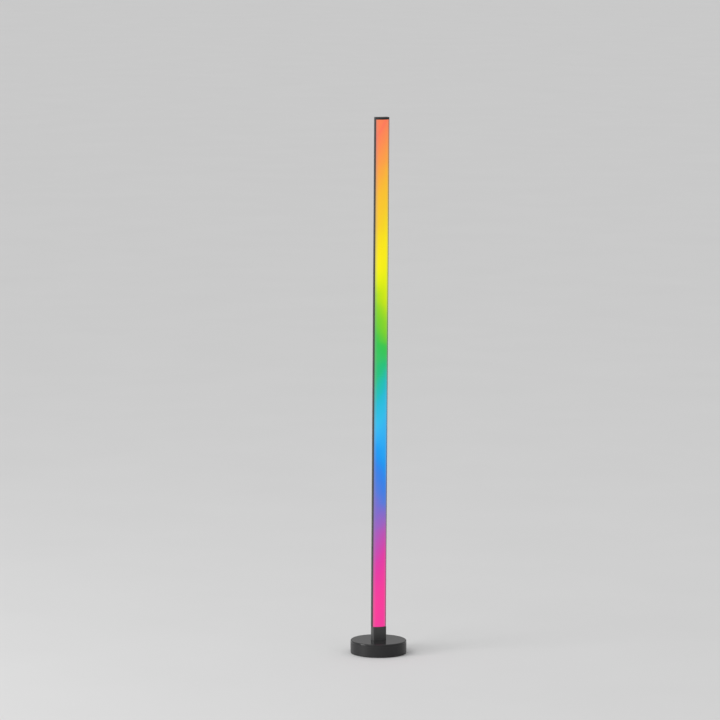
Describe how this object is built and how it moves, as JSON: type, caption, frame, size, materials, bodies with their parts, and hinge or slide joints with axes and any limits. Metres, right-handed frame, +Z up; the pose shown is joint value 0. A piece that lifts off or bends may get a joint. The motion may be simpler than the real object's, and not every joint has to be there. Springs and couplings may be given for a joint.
{
  "type": "floor lamp",
  "caption": "Upright bar of colour-changing light on a weighted round base: plug-together sections with black channels and milky arched fronts.",
  "frame": {"origin": "on the floor under the centre of the round base", "axes": "+Z up along the bar; the light faces -Y, and the power inlet faces +Y"},
  "size_m": [0.146, 0.146, 1.4],
  "materials": {
    "gloss_black": "glossy black moulding",
    "stem_black": "satin black moulding",
    "cap_black": "satin black moulding",
    "channel_black": "black anodised extrusion",
    "diffuser_1": "milky extrusion, lit from behind",
    "diffuser_2": "milky extrusion, lit from behind",
    "diffuser_3": "milky extrusion, lit from behind",
    "diffuser_4": "milky extrusion, lit from behind",
    "board_white": "white coated metal-core board",
    "chip_cream": "moulded light chips",
    "socket_white": "natural moulding",
    "joiner_aluminium": "plain extruded bar",
    "black_screw": "black zinc",
    "zinc_screw": "bright zinc",
    "pin_brass": "plated contact pins",
    "part_black": "moulded parts",
    "lead_jacket": "coloured wire jackets",
    "foot_rubber": "soft rubber pads",
    "plate_steel": "black powder coat",
    "backing_zinc": "zinc-plated sheet",
    "weight_iron": "rough casting",
    "pad_foam": "foam ring",
    "board_green": "circuit board",
    "can_tin": "tinned sheet",
    "header_white": "plug housing"
  },
  "bodies": {
    "base": {"rubber_feet": "foot_rubber", "bottom_plate": "plate_steel", "bottom_plate_screws": "zinc_screw", "counterweight": "weight_iron", "weight_pad": "pad_foam", "base_cover": "gloss_black", "control_board": "board_green", "control_board_screws": "zinc_screw", "control_parts": "part_black", "wireless_module": "can_tin", "lead_header": "header_white", "power_inlet": "can_tin", "inlet_tongue": "part_black", "backing_plate": "backing_zinc", "stem": "stem_black", "stem_screws": "zinc_screw", "stem_leads": "lead_jacket", "joiner_0": "joiner_aluminium", "joiner_screws_0": "black_screw", "pin_carrier_0": "part_black", "contact_pins_0": "pin_brass"},
    "section_1": {"channel_1": "channel_black", "diffuser_1": "diffuser_1", "light_board_1": "board_white", "light_chips_1": "chip_cream", "socket_block_1": "socket_white", "section_leads_1": "lead_jacket", "joiner_1": "joiner_aluminium", "joiner_screws_1": "black_screw", "pin_carrier_1": "part_black", "contact_pins_1": "pin_brass"},
    "section_2": {"channel_2": "channel_black", "diffuser_2": "diffuser_2", "light_board_2": "board_white", "light_chips_2": "chip_cream", "socket_block_2": "socket_white", "section_leads_2": "lead_jacket", "joiner_2": "joiner_aluminium", "joiner_screws_2": "black_screw", "pin_carrier_2": "part_black", "contact_pins_2": "pin_brass"},
    "section_3": {"channel_3": "channel_black", "diffuser_3": "diffuser_3", "light_board_3": "board_white", "light_chips_3": "chip_cream", "socket_block_3": "socket_white", "section_leads_3": "lead_jacket", "joiner_3": "joiner_aluminium", "joiner_screws_3": "black_screw", "pin_carrier_3": "part_black", "contact_pins_3": "pin_brass"},
    "section_4": {"channel_4": "channel_black", "diffuser_4": "diffuser_4", "light_board_4": "board_white", "light_chips_4": "chip_cream", "socket_block_4": "socket_white", "section_leads_4": "lead_jacket", "top_cap": "cap_black", "top_cap_screws": "black_screw"}
  },
  "joints": [
    {"name": "section_1_lift", "type": "slide", "parent": "base", "child": "section_1", "axis": [0, 0, 1], "range_m": [0, 0.034]},
    {"name": "section_2_lift", "type": "slide", "parent": "section_1", "child": "section_2", "axis": [0, 0, 1], "range_m": [0, 0.034]},
    {"name": "section_3_lift", "type": "slide", "parent": "section_2", "child": "section_3", "axis": [0, 0, 1], "range_m": [0, 0.034]},
    {"name": "section_4_lift", "type": "slide", "parent": "section_3", "child": "section_4", "axis": [0, 0, 1], "range_m": [0, 0.034]}
  ]
}
